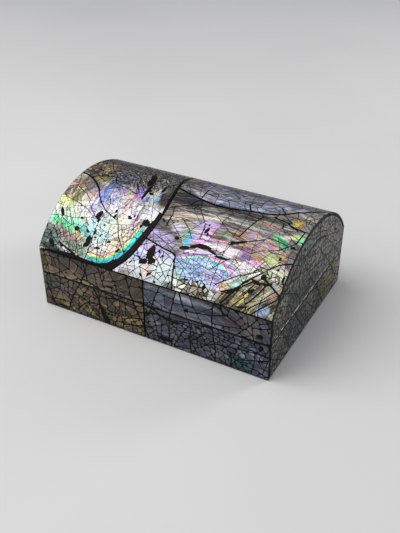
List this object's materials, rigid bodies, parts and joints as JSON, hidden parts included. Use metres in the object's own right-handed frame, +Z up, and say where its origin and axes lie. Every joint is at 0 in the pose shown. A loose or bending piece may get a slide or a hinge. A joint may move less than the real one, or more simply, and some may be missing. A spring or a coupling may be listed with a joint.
{
  "type": "shell box",
  "caption": "Small oblong box with a barrel-domed lift-off lid, hollow inside, veneered all over in cracked pearl shell set in black resin.",
  "frame": {"origin": "middle of the box's underside", "axes": "+Z up, X along the length with +X the right end seen from the front, front faces -Y"},
  "size_m": [0.15, 0.11, 0.0696],
  "materials": {
    "black_wood": "black lacquer",
    "brown_shell": "polished",
    "blue_shell": "polished",
    "grey_shell": "polished",
    "pearl_shell": "polished"
  },
  "bodies": {
    "root": {"base_carcass": "black_wood", "lid_carcass": "black_wood", "base_front_brown_shell": "brown_shell", "lid_front_brown_shell": "brown_shell", "base_front_blue_shell": "blue_shell", "lid_front_blue_shell": "blue_shell", "base_left_shell": "grey_shell", "base_right_shell": "grey_shell", "base_back_shell": "grey_shell", "lid_left_shell": "grey_shell", "lid_right_shell": "grey_shell", "lid_back_shell": "grey_shell", "lid_top_left_shell": "pearl_shell", "lid_top_middle_shell": "pearl_shell", "lid_top_right_shell": "pearl_shell", "lid_top_back_shell": "pearl_shell"}
  },
  "joints": []
}
